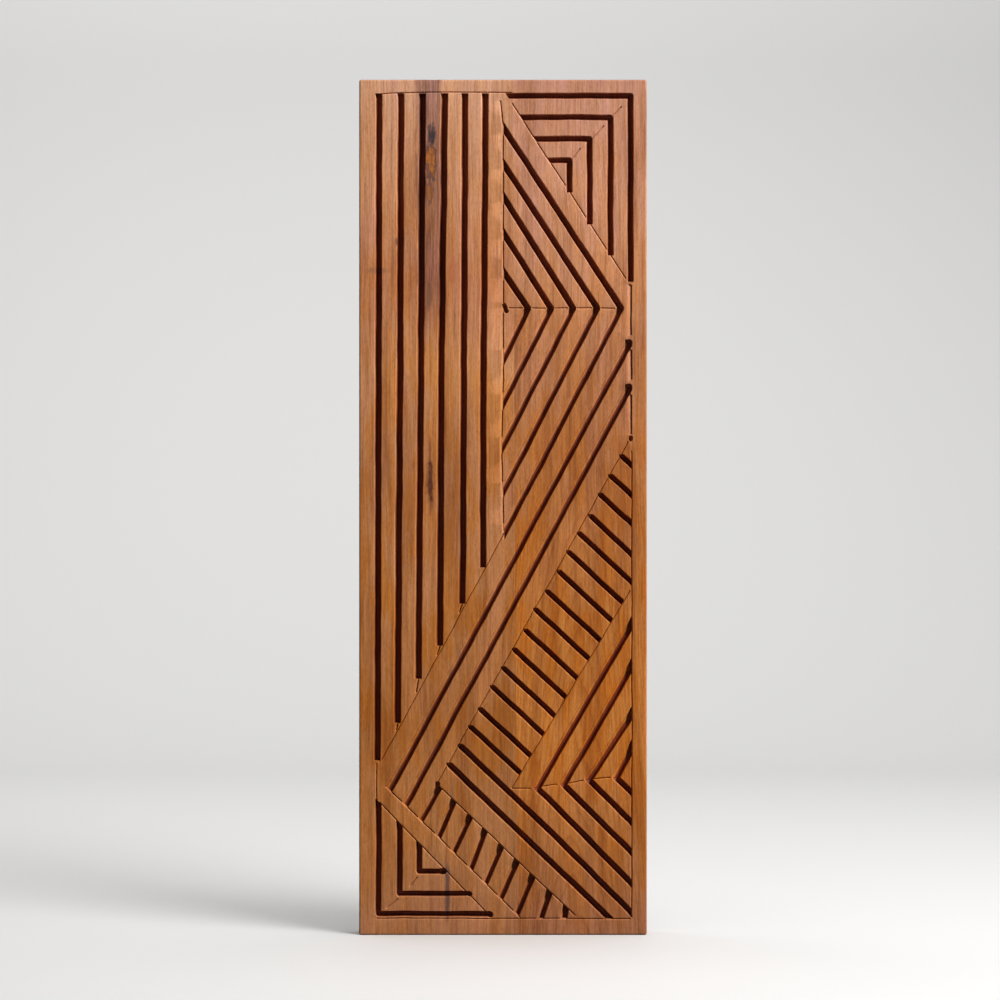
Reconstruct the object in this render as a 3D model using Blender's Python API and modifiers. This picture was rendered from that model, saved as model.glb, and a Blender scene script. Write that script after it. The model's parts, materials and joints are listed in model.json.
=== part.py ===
"""Carved hardwood wall panel: two edge-glued boards, hidden dowels, back hangers and bumpers.

Metres, +Z up. The carved front faces -Y. The origin is under the middle of the panel, at its foot.
"""
import math

import bmesh
import bpy
from mathutils import Matrix, Vector

MM = 0.001

# The panel, in metres.
WIDTH = 0.300
HEIGHT = 0.892
THICKNESS = 0.028
BUMPER_HEIGHT = 0.0065
EDGE_ROUND = 0.0015
GAP = 0.0003
FRONT_Y = -(THICKNESS + BUMPER_HEIGHT) / 2
BACK_Y = FRONT_Y + THICKNESS

# The glue line runs a little askew: its distance from the panel's centre line at foot and top.
GLUE_X_FOOT = 0.0151
GLUE_X_TOP = 0.0096

# Depths of the carving.
CHANNEL_DEPTH = 0.006
SCRIBE_DEPTH = 0.0014
OVERCUT = 0.004

# Channel widths and the edges of the carved field, in millimetres from the centre line and the foot.
FLUTE = 6.2
BAND = 6.0
CORNER = 5.6
SLOT = 5.2
SCRIBE = 1.4
FIELD_TOP = 877.0

# Dowels across the glue line.
DOWEL_RADIUS = 0.004
DOWEL_LENGTH = 0.044
DOWEL_Y = 0.001
DOWEL_HEIGHTS = (0.090, 0.270, 0.446, 0.625, 0.805)

# Hangers on the back: strap, ring and two screws each.
HANGER_HEIGHT = 0.742
RING_AXIS_X = 0.085
STRAP_LENGTH = 0.030
STRAP_WIDTH = 0.014
STRAP_THICKNESS = 0.0014
KNUCKLE_RADIUS = 0.0028
KNUCKLE_BORE = 0.0016
KNUCKLE_LENGTH = 0.009
RING_WIRE = 0.0012
RING_HALF_WIDTH = 0.0095
RING_STRAIGHT = 0.004
SCREW_PLACES = {"outer": 0.029, "inner": 0.019}
SCREW_SHANK = 0.0015
SCREW_HEAD = 0.0033
SCREW_HEAD_HEIGHT = 0.0018
SCREW_REACH = 0.013
STRAP_HOLE = 0.0019
PILOT_RADIUS = 0.0018

# Bumper pads in the back corners.
BUMPER_RADIUS = 0.007
BUMPER_INSET = 0.018


def clear_scene():
    for scene_object in list(bpy.data.objects):
        bpy.data.objects.remove(scene_object, do_unlink=True)


def new_collection(name):
    collection = bpy.data.collections.new(name)
    bpy.context.scene.collection.children.link(collection)
    return collection


def material(name, color, roughness, metallic=0.0):
    made = bpy.data.materials.new(name)
    made.use_nodes = True
    shader = made.node_tree.nodes["Principled BSDF"]
    shader.inputs["Base Color"].default_value = (*color, 1.0)
    shader.inputs["Roughness"].default_value = roughness
    shader.inputs["Metallic"].default_value = metallic
    return made


def mesh_object(name, mesh, collection, surface=None):
    made = bpy.data.objects.new(name, mesh)
    collection.objects.link(made)
    if surface:
        mesh.materials.clear()
        mesh.materials.append(surface)
    else:
        made.hide_render = True
        made.display_type = "WIRE"
    return made


def curve_to_mesh(curve, name, matrix=Matrix()):
    """Welded mesh of a curve, turned and moved by matrix."""
    holder = bpy.data.objects.new(name, curve)
    bpy.context.scene.collection.objects.link(holder)
    bpy.context.view_layer.update()
    evaluated = holder.evaluated_get(bpy.context.evaluated_depsgraph_get())
    mesh = bpy.data.meshes.new_from_object(evaluated)
    bpy.data.objects.remove(holder, do_unlink=True)
    work = bmesh.new()
    work.from_mesh(mesh)
    bmesh.ops.remove_doubles(work, verts=work.verts, dist=0.00001)
    bmesh.ops.transform(work, matrix=matrix, verts=work.verts)
    bmesh.ops.recalc_face_normals(work, faces=work.faces)
    work.to_mesh(mesh)
    work.free()
    return mesh


def flat_shape(name, outlines, thickness, matrix=Matrix()):
    """Flat outlines in X and Y, filled and given a thickness about Z; an inner outline is a hole."""
    curve = bpy.data.curves.new(name, "CURVE")
    curve.dimensions = "2D"
    curve.fill_mode = "BOTH"
    curve.extrude = thickness / 2
    for outline in outlines:
        spline = curve.splines.new("POLY")
        spline.points.add(len(outline) - 1)
        for point, (x, y) in zip(spline.points, outline):
            point.co = (x, y, 0.0, 1.0)
        spline.use_cyclic_u = True
    return curve_to_mesh(curve, name, matrix)


def upright(x, y, z):
    """Stands a flat shape up: its X stays X, its Y becomes Z and its thickness runs along Y."""
    return Matrix.Translation((x, y, z)) @ Matrix.Rotation(math.radians(90), 4, "X")


def cylinders(name, radius, length, places, axis, segments=16):
    """One mesh of equal closed cylinders, centred on places, along a world axis."""
    turn = {"X": Matrix.Rotation(math.radians(90), 4, "Y"), "Y": Matrix.Rotation(math.radians(90), 4, "X")}
    work = bmesh.new()
    for place in places:
        bmesh.ops.create_cone(work, cap_ends=True, segments=segments, radius1=radius, radius2=radius,
                              depth=length, matrix=Matrix.Translation(place) @ turn[axis])
    mesh = bpy.data.meshes.new(name)
    work.to_mesh(mesh)
    work.free()
    return mesh


def circle(x, y, radius, segments):
    turns = [2 * math.pi * step / segments for step in range(segments)]
    return [(x + radius * math.cos(turn), y + radius * math.sin(turn)) for turn in turns]


def subtract(target, cutter):
    cut = target.modifiers.new(cutter.name, "BOOLEAN")
    cut.operation = "DIFFERENCE"
    cut.solver = "EXACT"
    cut.object = cutter


# --- The carving: centre lines in millimetres, from the centre line and up from the foot ---

def flutes():
    """Six upright flutes that lean a little and stop short of the slanting edge below them."""
    tops = (-129.2, -106.3, -83.8, -60.9, -39.6, -18.2)
    middles = (-130.0, -107.6, -85.9, -64.6, -40.9, -20.7)
    feet = ((-131.0, 181.5), (-110.0, 221.0), (-88.2, 267.0), (-65.8, 301.5), (-42.3, 345.0), (-20.9, 382.5))
    return [[(top, FIELD_TOP - 1), (middle, 566), foot] for top, middle, foot in zip(tops, middles, feet)]


def corner_channels():
    """Four nested square corners at the top right, cut off by a slanting edge."""
    heights = (875.0, 852.5, 830.0, 807.5)
    starts = (10.5, 21.5, 38.0, 49.0)
    sides = (133.0, 112.2, 90.3, 69.2)
    feet = (681.0, 708.5, 741.0, 774.0)
    return [[(start, height), (side, height), (side, foot)]
            for height, start, side, foot in zip(heights, starts, sides, feet)]


def right_chevrons():
    """Five nested chevrons that point right and spring from the upright edge at the middle."""
    apex_height = 653.5
    tips = (26.0, 50.0, 73.0, 98.0, 123.0)
    upper_ends = (691.0, 732.0, 769.5, 804.0, 842.0)
    lower_ends = (603.5, 559.0, 514.0, 466.0, 420.5)
    return [[(0.5, high), (tip, apex_height), (2.0, low)]
            for tip, high, low in zip(tips, upper_ends, lower_ends)]


def band_channels():
    """Two long slanting channels that run from the right border down to the lower left."""
    return [[(132.0, 619.0), (-118.0, 151.0)], [(132.0, 572.5), (-102.0, 134.0)]]


def ladder_slots():
    """Fifteen short slots down the slanting band, as between the rungs of a ladder."""
    starts = ((122.2, 500.5), (111.0, 480.0), (100.2, 460.5), (90.0, 438.0), (78.0, 420.0),
              (66.8, 400.5), (57.0, 380.0), (44.7, 359.5), (33.0, 340.5), (22.7, 318.5),
              (10.2, 299.0), (-1.0, 279.5), (-12.4, 260.0), (-25.0, 236.5), (-35.2, 218.0))
    lengths = (15, 30, 38, 53, 73, 76, 76, 76, 76, 73, 75, 74, 75, 73, 73)
    slant = math.radians(-43)
    return [[(x, z), (x + length * math.cos(slant), z + length * math.sin(slant))]
            for (x, z), length in zip(starts, lengths)]


def left_chevrons():
    """Four nested chevrons that point left and spring from the right border."""
    tips = ((35.7, 153.0), (63.4, 156.5), (90.0, 161.5), (118.3, 163.5))
    upper_ends = (322.0, 278.0, 228.5, 192.0)
    lower_ends = (54.0, 86.5, 118.0, 149.0)
    return [[(133.0, high), tip, (133.5, low)] for tip, high, low in zip(tips, upper_ends, lower_ends)]


def falling_channels():
    """Two long channels that fall from the middle to the lower right corner."""
    return [[(-46.0, 198.5), (48.6, 108.4), (133.0, 24.0)], [(-57.8, 179.0), (110.0, 18.5)]]


def short_slots():
    """Nine short slots between the falling channels and the lower edge."""
    starts = ((-69.2, 148.5), (-50.0, 141.0), (-33.5, 124.0), (-18.3, 109.0), (-1.3, 92.5),
              (14.9, 77.0), (31.1, 61.0), (48.1, 43.0), (65.7, 27.0))
    ends = ((-85.0, 120.5), (-67.0, 102.5), (-51.0, 87.5), (-33.0, 70.7), (-18.3, 54.0),
            (-2.0, 39.0), (14.7, 22.5), (39.7, 18.5), (64.0, 18.3))
    return [[start, end] for start, end in zip(starts, ends)]


def foot_corners():
    """Three nested square corners at the lower left."""
    return [[(-129.7, 133.5), (-129.7, 21.8), (-14.6, 21.8)],
            [(-107.8, 110.5), (-107.8, 43.0), (-36.3, 43.0)],
            [(-87.2, 91.0), (-87.2, 66.0), (-63.5, 66.0)]]


def scribed_lines():
    """Fine lines that part the regions and mitre the corners."""
    edges = [[(-2.3, 870.5), (0.6, 843.5), (0.6, 605.0), (-1.0, 505.5), (1.0, 419.0), (-127.0, 182.5)],
             [(9.0, 867.5), (128.0, 684.0)],
             [(130.7, 515.0), (-68.5, 159.0)],
             [(132.5, 359.5), (8.5, 152.5)],
             [(-68.0, 156.5), (75.2, 20.0)],
             [(-122.3, 155.5), (18.2, 18.0)],
             [(-129.0, 138.5), (-14.8, 20.5)]]
    top_mitres = [[(113.2, 853.5), (124.0, 864.5)], [(92.4, 829.8), (105.2, 844.3)],
                  [(70.2, 807.0), (81.0, 820.5)]]
    foot_mitres = [[(-121.2, 27.6), (-108.8, 38.4)], [(-97.5, 50.3), (-89.0, 60.5)]]
    middle_mitres = [[(5.5, 653.8), (21.0, 653.8)], [(29.5, 653.8), (45.0, 653.7)],
                     [(53.5, 653.7), (68.0, 653.8)], [(76.5, 653.7), (93.0, 653.7)],
                     [(101.5, 653.5), (117.0, 653.2)]]
    low_mitres = [[(9.6, 152.7), (29.0, 153.0)], [(39.5, 155.0), (56.6, 157.0)],
                  [(68.0, 157.8), (84.0, 161.2)], [(94.0, 162.5), (112.0, 164.5)]]
    return edges + top_mitres + foot_mitres + middle_mitres + low_mitres


def channel_outline(points, width, steps=4):
    """Outline in metres of a channel along a polyline, round at its tips and outer corners."""
    radius = width / 2
    route = [Vector(point) for point in points]
    route[0] += (route[1] - route[0]).normalized() * radius
    route[-1] += (route[-2] - route[-1]).normalized() * radius
    route = route + route[-2:0:-1]
    outline = []
    for index, here in enumerate(route):
        into = (here - route[index - 1]).normalized()
        out = (route[(index + 1) % len(route)] - here).normalized()
        side_in = Vector((into.y, -into.x))
        side_out = Vector((out.y, -out.x))
        turn = math.atan2(into.cross(out), into.dot(out))
        if into.dot(out) < -0.999:
            turn = math.pi
        if turn < math.radians(3):
            outline.append(here + (side_in + side_out) * radius / (1 + side_in.dot(side_out)))
            continue
        count = max(1, math.ceil(steps * turn / math.pi))
        start = math.atan2(side_in.y, side_in.x)
        for step in range(count + 1):
            angle = start + turn * step / count
            outline.append(here + Vector((math.cos(angle), math.sin(angle))) * radius)
    return [(point.x * MM, point.y * MM) for point in outline]


def carving_cutter(name, families, depth, cutters, steps):
    """One cutter of flat prisms that reach depth into the front face."""
    outlines = [channel_outline(points, width, steps) for width, lines in families for points in lines]
    middle_y = FRONT_Y + (depth - OVERCUT) / 2
    mesh = flat_shape(name, outlines, depth + OVERCUT, upright(0.0, middle_y, 0.0))
    return mesh_object(name, mesh, cutters)


# --- Boards, dowels, hangers and bumpers ---

def glue_x(height):
    return GLUE_X_FOOT + (GLUE_X_TOP - GLUE_X_FOOT) * height / HEIGHT


def board(name, side, surface, parts, cutters, carving):
    """One board: the whole panel block, less the far side of the glue line, the carving and bores."""
    bpy.ops.mesh.primitive_cube_add(size=1.0, location=(0.0, (FRONT_Y + BACK_Y) / 2, HEIGHT / 2))
    made = bpy.context.object
    made.name = name
    made.data.name = name
    made.scale = (WIDTH, THICKNESS, HEIGHT)
    bpy.ops.object.transform_apply(location=False, rotation=False, scale=True)
    for collection in list(made.users_collection):
        collection.objects.unlink(made)
    parts.objects.link(made)
    made.data.materials.append(surface)
    rounding = made.modifiers.new("edge_round", "BEVEL")
    rounding.width = EDGE_ROUND
    rounding.segments = 2
    edge_top = glue_x(HEIGHT + OVERCUT) + side * GAP / 2
    edge_foot = glue_x(-OVERCUT) + side * GAP / 2
    far = -side * WIDTH
    outline = [(edge_top, HEIGHT + OVERCUT), (far, HEIGHT + OVERCUT), (far, -OVERCUT), (edge_foot, -OVERCUT)]
    other_half = flat_shape(name + "_trim", [outline], 2 * THICKNESS,
                            upright(0.0, (FRONT_Y + BACK_Y) / 2, 0.0))
    subtract(made, mesh_object(name + "_trim", other_half, cutters))
    for cutter in carving:
        subtract(made, cutter)
    return made


def dowel_place(height):
    return (glue_x(height), DOWEL_Y, height)


def dowels(surface, parts):
    for number, height in enumerate(DOWEL_HEIGHTS, start=1):
        name = f"dowel_{number}"
        mesh = cylinders(name, DOWEL_RADIUS, DOWEL_LENGTH, [dowel_place(height)], "X")
        made = mesh_object(name, mesh, parts, surface)
        rounding = made.modifiers.new("chamfer", "BEVEL")
        rounding.width = 0.0008
        rounding.segments = 1
        rounding.limit_method = "ANGLE"
        rounding.angle_limit = math.radians(60)


def dowel_bores(cutters):
    places = [dowel_place(height) for height in DOWEL_HEIGHTS]
    mesh = cylinders("dowel_bores", DOWEL_RADIUS + GAP, DOWEL_LENGTH + 4 * GAP, places, "X")
    return mesh_object("dowel_bores", mesh, cutters)


def screw_x(side, place):
    """X of a strap screw: side is -1 for the left hanger and 1 for the right one."""
    return side * (RING_AXIS_X + SCREW_PLACES[place])


def pilot_holes(cutters):
    length = SCREW_REACH + 0.002
    places = [(screw_x(side, place), BACK_Y - length / 2 + 0.001, HANGER_HEIGHT)
              for side in (-1, 1) for place in SCREW_PLACES]
    mesh = cylinders("pilot_holes", PILOT_RADIUS, length + 0.002, places, "Y", 12)
    return mesh_object("pilot_holes", mesh, cutters)


def strap(side, name, surface, parts, cutters):
    """Flat tongue with two screw holes and, at its inner end, a knuckle for the ring's bar."""
    half = STRAP_WIDTH / 2
    neck = KNUCKLE_LENGTH / 2
    round_centre = STRAP_LENGTH + 0.001
    tip = 0.0012
    arc = [(round_centre + half * math.sin(angle), half * math.cos(angle))
           for angle in [math.pi * step / 8 for step in range(9)]]
    tongue = arc + [(0.012, -half), (0.006, -neck), (tip, -neck), (tip, neck), (0.006, neck), (0.012, half)]
    holes = [circle(distance, 0.0, STRAP_HOLE, 12) for distance in SCREW_PLACES.values()]
    mirror = Matrix.Scale(side, 4, (1, 0, 0))
    plate_y = BACK_Y + GAP + STRAP_THICKNESS / 2
    place = upright(side * RING_AXIS_X, plate_y, HANGER_HEIGHT) @ mirror
    plate = mesh_object(name, flat_shape(name, [tongue] + holes, STRAP_THICKNESS, place), parts, surface)
    bore_centre = Matrix.Translation((side * RING_AXIS_X, BACK_Y + GAP + KNUCKLE_RADIUS, HANGER_HEIGHT))
    tube = flat_shape(name + "_knuckle", [circle(0, 0, KNUCKLE_RADIUS, 16), circle(0, 0, KNUCKLE_BORE, 16)],
                      KNUCKLE_LENGTH, bore_centre)
    knuckle = mesh_object(name + "_knuckle", tube, cutters)
    joined = plate.modifiers.new("knuckle", "BOOLEAN")
    joined.operation = "UNION"
    joined.solver = "EXACT"
    joined.object = knuckle
    return plate


def ring(side, name, surface, parts):
    """D-shaped wire ring: a straight bar in the knuckle and a half round that hangs from it."""
    corner = 0.002
    bar = RING_HALF_WIDTH - corner
    upper = [(0.0, -bar), (0.0, -bar / 3), (0.0, bar / 3), (0.0, bar),
             (corner * 0.3, bar + corner * 0.7), (corner, RING_HALF_WIDTH)]
    half_round = [(RING_STRAIGHT + RING_HALF_WIDTH * math.sin(angle), RING_HALF_WIDTH * math.cos(angle))
                  for angle in [math.pi * step / 14 for step in range(15)]]
    lower = [(corner, -RING_HALF_WIDTH), (corner * 0.3, -bar - corner * 0.7)]
    curve = bpy.data.curves.new(name, "CURVE")
    curve.dimensions = "3D"
    curve.bevel_depth = RING_WIRE
    curve.bevel_resolution = 2
    route = upper + half_round + lower
    spline = curve.splines.new("POLY")
    spline.points.add(len(route) - 1)
    for point, (reach, height) in zip(spline.points, route):
        point.co = (-side * reach, 0.0, height, 1.0)
    spline.use_cyclic_u = True
    made = mesh_object(name, curve_to_mesh(curve, name), parts, surface)
    made.location = (side * RING_AXIS_X, BACK_Y + GAP + KNUCKLE_RADIUS, HANGER_HEIGHT)
    made.data.shade_smooth()
    return made


def turned(name, profile, place, surface, parts, segments):
    """Solid of revolution about a line along +Y through place; the profile runs from its back end."""
    mesh = bpy.data.meshes.new(name)
    mesh.from_pydata([(radius, 0.0, height) for radius, height in profile],
                     [(index, index + 1) for index in range(len(profile) - 1)], [])
    made = mesh_object(name, mesh, parts, surface)
    made.location = place
    made.rotation_euler = (math.radians(-90), 0.0, 0.0)
    lathe = made.modifiers.new("lathe", "SCREW")
    lathe.steps = segments
    lathe.render_steps = segments
    lathe.use_merge_vertices = True
    lathe.merge_threshold = 0.00001
    lathe.use_smooth_shade = True
    return made


def screw(side, place, surface, parts):
    """Round-headed wood screw that holds the strap to the back."""
    base = BACK_Y + 2 * GAP + STRAP_THICKNESS
    profile = [(0.0, SCREW_HEAD_HEIGHT), (0.6 * SCREW_HEAD, SCREW_HEAD_HEIGHT * 0.85),
               (SCREW_HEAD, SCREW_HEAD_HEIGHT * 0.3), (SCREW_HEAD, 0.0), (SCREW_SHANK, 0.0),
               (SCREW_SHANK, -SCREW_REACH + 0.003), (0.0, -SCREW_REACH)]
    label = "left" if side < 0 else "right"
    return turned(f"{label}_hanger_screw_{place}", profile, (screw_x(side, place), base, HANGER_HEIGHT),
                  surface, parts, 12)


def bumper(name, x, z, surface, parts):
    """Round rubber pad that keeps the back clear of the wall."""
    profile = [(0.0, BUMPER_HEIGHT - GAP), (BUMPER_RADIUS - 0.0012, BUMPER_HEIGHT - GAP),
               (BUMPER_RADIUS, BUMPER_HEIGHT - GAP - 0.0012), (BUMPER_RADIUS, 0.0), (0.0, 0.0)]
    return turned(name, profile, (x, BACK_Y + GAP, z), surface, parts, 20)


def main():
    clear_scene()
    parts = new_collection("carved_wall_panel")
    cutters = new_collection("cutters")
    left_wood = material("left_board_wood", (0.56, 0.30, 0.16), 0.55)
    right_wood = material("right_board_wood", (0.50, 0.24, 0.12), 0.55)
    dowel_wood = material("dowel_wood", (0.62, 0.45, 0.28), 0.6)
    steel = material("hanger_steel", (0.62, 0.61, 0.58), 0.35, 1.0)
    screw_steel = material("screw_steel", (0.58, 0.57, 0.54), 0.4, 1.0)
    rubber = material("bumper_rubber", (0.035, 0.033, 0.03), 0.8)

    channels = [(FLUTE, flutes()), (CORNER, corner_channels()), (BAND, right_chevrons()),
                (BAND, band_channels()), (SLOT, ladder_slots()), (BAND, left_chevrons()),
                (BAND, falling_channels()), (SLOT, short_slots()), (CORNER, foot_corners())]
    carving = [carving_cutter("channel_cutter", channels, CHANNEL_DEPTH, cutters, 4),
               carving_cutter("scribe_cutter", [(SCRIBE, scribed_lines())], SCRIBE_DEPTH, cutters, 2),
               dowel_bores(cutters), pilot_holes(cutters)]
    board("left_board", -1, left_wood, parts, cutters, carving)
    board("right_board", 1, right_wood, parts, cutters, carving)
    dowels(dowel_wood, parts)
    for side, label in ((-1, "left"), (1, "right")):
        strap(side, f"{label}_hanger_strap", steel, parts, cutters)
        ring(side, f"{label}_hanger_ring", steel, parts)
        for place in SCREW_PLACES:
            screw(side, place, screw_steel, parts)
        for level, z in (("top", HEIGHT - BUMPER_INSET), ("bottom", BUMPER_INSET)):
            bumper(f"bumper_{level}_{label}", side * (WIDTH / 2 - BUMPER_INSET), z, rubber, parts)


main()
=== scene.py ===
"""Looks of a carved hardwood wall panel: two boards, its back hangers and its rubber pads."""
import json
from math import atan2, ceil, cos, pi, radians, sin, sqrt

import bmesh
import bpy
import numpy as np
from mathutils import Matrix, Vector
from mathutils.geometry import delaunay_2d_cdt


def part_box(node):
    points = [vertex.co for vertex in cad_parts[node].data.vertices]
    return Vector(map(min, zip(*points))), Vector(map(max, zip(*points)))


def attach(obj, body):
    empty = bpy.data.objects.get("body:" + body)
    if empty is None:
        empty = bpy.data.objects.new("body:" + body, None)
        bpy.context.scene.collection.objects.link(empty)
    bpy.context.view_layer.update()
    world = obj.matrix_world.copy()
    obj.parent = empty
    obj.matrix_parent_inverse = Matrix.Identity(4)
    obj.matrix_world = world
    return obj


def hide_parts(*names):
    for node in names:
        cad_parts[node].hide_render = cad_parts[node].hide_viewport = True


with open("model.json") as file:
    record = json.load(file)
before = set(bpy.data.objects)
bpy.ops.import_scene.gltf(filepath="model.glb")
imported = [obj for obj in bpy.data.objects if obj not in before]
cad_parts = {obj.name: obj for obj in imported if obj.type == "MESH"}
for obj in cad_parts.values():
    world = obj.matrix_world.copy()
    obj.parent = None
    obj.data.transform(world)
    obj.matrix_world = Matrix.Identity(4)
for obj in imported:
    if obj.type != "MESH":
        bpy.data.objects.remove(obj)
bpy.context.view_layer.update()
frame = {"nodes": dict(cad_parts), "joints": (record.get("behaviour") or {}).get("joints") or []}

MM = 0.001

# ---- Sizes, from the frame. The carving is laid out in millimetres: x from the panel's centre line,
# z up from its foot.
left_low, left_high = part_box("left_board")
right_low, right_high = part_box("right_board")
PANEL_LEFT = left_low[0] / MM
PANEL_RIGHT = right_high[0] / MM
PANEL_TOP = left_high[2] / MM
FRONT_Y = left_low[1] / MM
BACK_Y = left_high[1] / MM
BOARD_GAP = 0.3
GLUE_X_FOOT = left_high[0] / MM + BOARD_GAP / 2
GLUE_X_TOP = right_low[0] / MM - BOARD_GAP / 2
HAIRLINE = 0.02

EDGE_ROUND = 1.6
CORNER_ROUND = 2.2
FIELD_TOP = 877.0

CHANNEL_DEPTH = 6.0
FLUTE = 6.9
BAND = 6.9
CORNER = 6.3
SLOT = 6.0
SHORT_SLOT = 6.3
SCRIBE = 1.7
SCRIBE_DEPTH = 1.6
TAIL = 2.2
TAIL_DEPTH = 2.4
MIDDLE_LINE = 1.5
MIDDLE_LINE_DEPTH = 1.6
BORDER_LINE = 1.3
BORDER_LINE_DEPTH = 2.0
STOP_REACH = 9.5
STOP_WALL = 0.4
LIP_WIDTH = 0.9
SWAY = 0.22
SHAKE = 0.06

# Where a cut's wall slopes more gently: the way that it lies from the centre line (x, z), and how
# much wider the cut gets there. The slope starts where a direction is this near to that way.
SLOPE_FROM = 0.8
EVEN = (0.0, 0.0, 0.0)
GOUGE_SLOPE = (-0.883, 0.469, 0.38)
MIDDLE_SLOPE = (-1.0, 0.0, 1.6)
BORDER_SLOPE = (-1.0, 0.0, 6.5)

SAMPLE_STEP = 3.0
ARC_STEPS = 10
WELD = 0.01
BOARD_CREASE = 50


def add(name, data):
    """A new object in the scene."""
    thing = bpy.data.objects.new(name, data)
    bpy.context.scene.collection.objects.link(thing)
    return thing


def new_piece(name, mesh, material):
    """A visible piece; a mesh that came out empty stops the script."""
    if not mesh.polygons:
        raise RuntimeError(f"{name} has no faces")
    mesh.materials.append(material)
    return add(name, mesh)


def mesh_of(name, points, faces):
    mesh = bpy.data.meshes.new(name)
    mesh.from_pydata(points, [], faces)
    return mesh


def outward(mesh, weld=0.0):
    """The mesh with near points welded and its faces turned outward."""
    work = bmesh.new()
    work.from_mesh(mesh)
    bmesh.ops.remove_doubles(work, verts=work.verts, dist=weld)
    bmesh.ops.recalc_face_normals(work, faces=work.faces)
    work.to_mesh(mesh)
    work.free()
    return mesh


# ---- The carving's centre lines, as in the part. ----
def flutes():
    """Six upright flutes that lean a little and stop short of the slanting edge below them."""
    tops = (-129.2, -106.3, -83.8, -60.9, -39.6, -18.2)
    middles = (-130.0, -107.6, -85.9, -64.6, -40.9, -20.7)
    feet = ((-131.0, 181.5), (-110.0, 221.0), (-88.2, 267.0), (-65.8, 301.5), (-42.3, 345.0), (-20.9, 382.5))
    return [[(top, FIELD_TOP - 1), (middle, 566), foot] for top, middle, foot in zip(tops, middles, feet)]


def corner_channels():
    """Four nested square corners at the top right, cut off by a slanting edge."""
    heights = (875.0, 852.5, 830.0, 807.5)
    starts = (10.5, 21.5, 38.0, 49.0)
    sides = (133.0, 112.2, 90.3, 69.2)
    feet = (681.0, 708.5, 741.0, 774.0)
    return [[(start, height), (side, height), (side, foot)]
            for height, start, side, foot in zip(heights, starts, sides, feet)]


def right_chevrons():
    """Five nested chevrons that point right and spring from the upright edge at the middle."""
    apex_height = 653.5
    tips = (26.0, 50.0, 73.0, 98.0, 123.0)
    upper_ends = (691.0, 732.0, 769.5, 804.0, 842.0)
    lower_ends = (603.5, 559.0, 514.0, 466.0, 420.5)
    return [[(0.5, high), (tip, apex_height), (2.0, low)]
            for tip, high, low in zip(tips, upper_ends, lower_ends)]


def band_channels():
    """Two long slanting channels that run from the right border down to the lower left."""
    return [[(131.5, 621.5), (131.0, 615.6), (-118.0, 151.0)],
            [(131.5, 575.0), (131.0, 569.2), (-102.0, 134.0)]]


def ladder_slots():
    """Fifteen short slots down the slanting band, as between the rungs of a ladder."""
    starts = ((122.2, 500.5), (111.0, 480.0), (100.2, 460.5), (90.0, 438.0), (78.0, 420.0),
              (66.8, 400.5), (57.0, 380.0), (44.7, 359.5), (33.0, 340.5), (22.7, 318.5),
              (10.2, 299.0), (-1.0, 279.5), (-12.4, 260.0), (-25.0, 236.5), (-35.2, 218.0))
    lengths = (15, 30, 38, 53, 73, 76, 76, 76, 76, 73, 75, 74, 75, 73, 73)
    slant = radians(-43)
    return [[(x, z), (x + length * cos(slant), z + length * sin(slant))]
            for (x, z), length in zip(starts, lengths)]


def left_chevrons():
    """Four nested chevrons that point left and spring from the right border."""
    tips = ((35.7, 153.0), (63.4, 156.5), (90.0, 161.5), (118.3, 163.5))
    upper_ends = (322.0, 278.0, 228.5, 192.0)
    lower_ends = (54.0, 86.5, 118.0, 149.0)
    return [[(133.0, high), tip, (133.5, low)] for tip, high, low in zip(tips, upper_ends, lower_ends)]


def falling_channels():
    """Two long channels that fall from the middle to the lower right corner."""
    return [[(-46.0, 198.5), (48.6, 108.4), (133.0, 24.0)], [(-57.8, 179.0), (110.0, 18.5)]]


def short_slots():
    """Nine short slots between the falling channels and the lower edge."""
    starts = ((-69.2, 148.5), (-50.0, 141.0), (-33.5, 124.0), (-18.3, 109.0), (-1.3, 92.5),
              (14.9, 77.0), (31.1, 61.0), (48.1, 43.0), (65.7, 27.0))
    ends = ((-85.0, 120.5), (-67.0, 102.5), (-51.0, 87.5), (-33.0, 70.7), (-18.3, 54.0),
            (-2.0, 39.0), (14.7, 22.5), (39.7, 18.5), (64.0, 18.3))
    return [[start, end] for start, end in zip(starts, ends)]


def foot_corners():
    """Three nested square corners at the lower left."""
    return [[(-129.7, 133.5), (-129.7, 21.8), (-14.6, 21.8)],
            [(-107.8, 110.5), (-107.8, 43.0), (-36.3, 43.0)],
            [(-87.2, 91.0), (-87.2, 66.0), (-63.5, 66.0)]]


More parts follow.
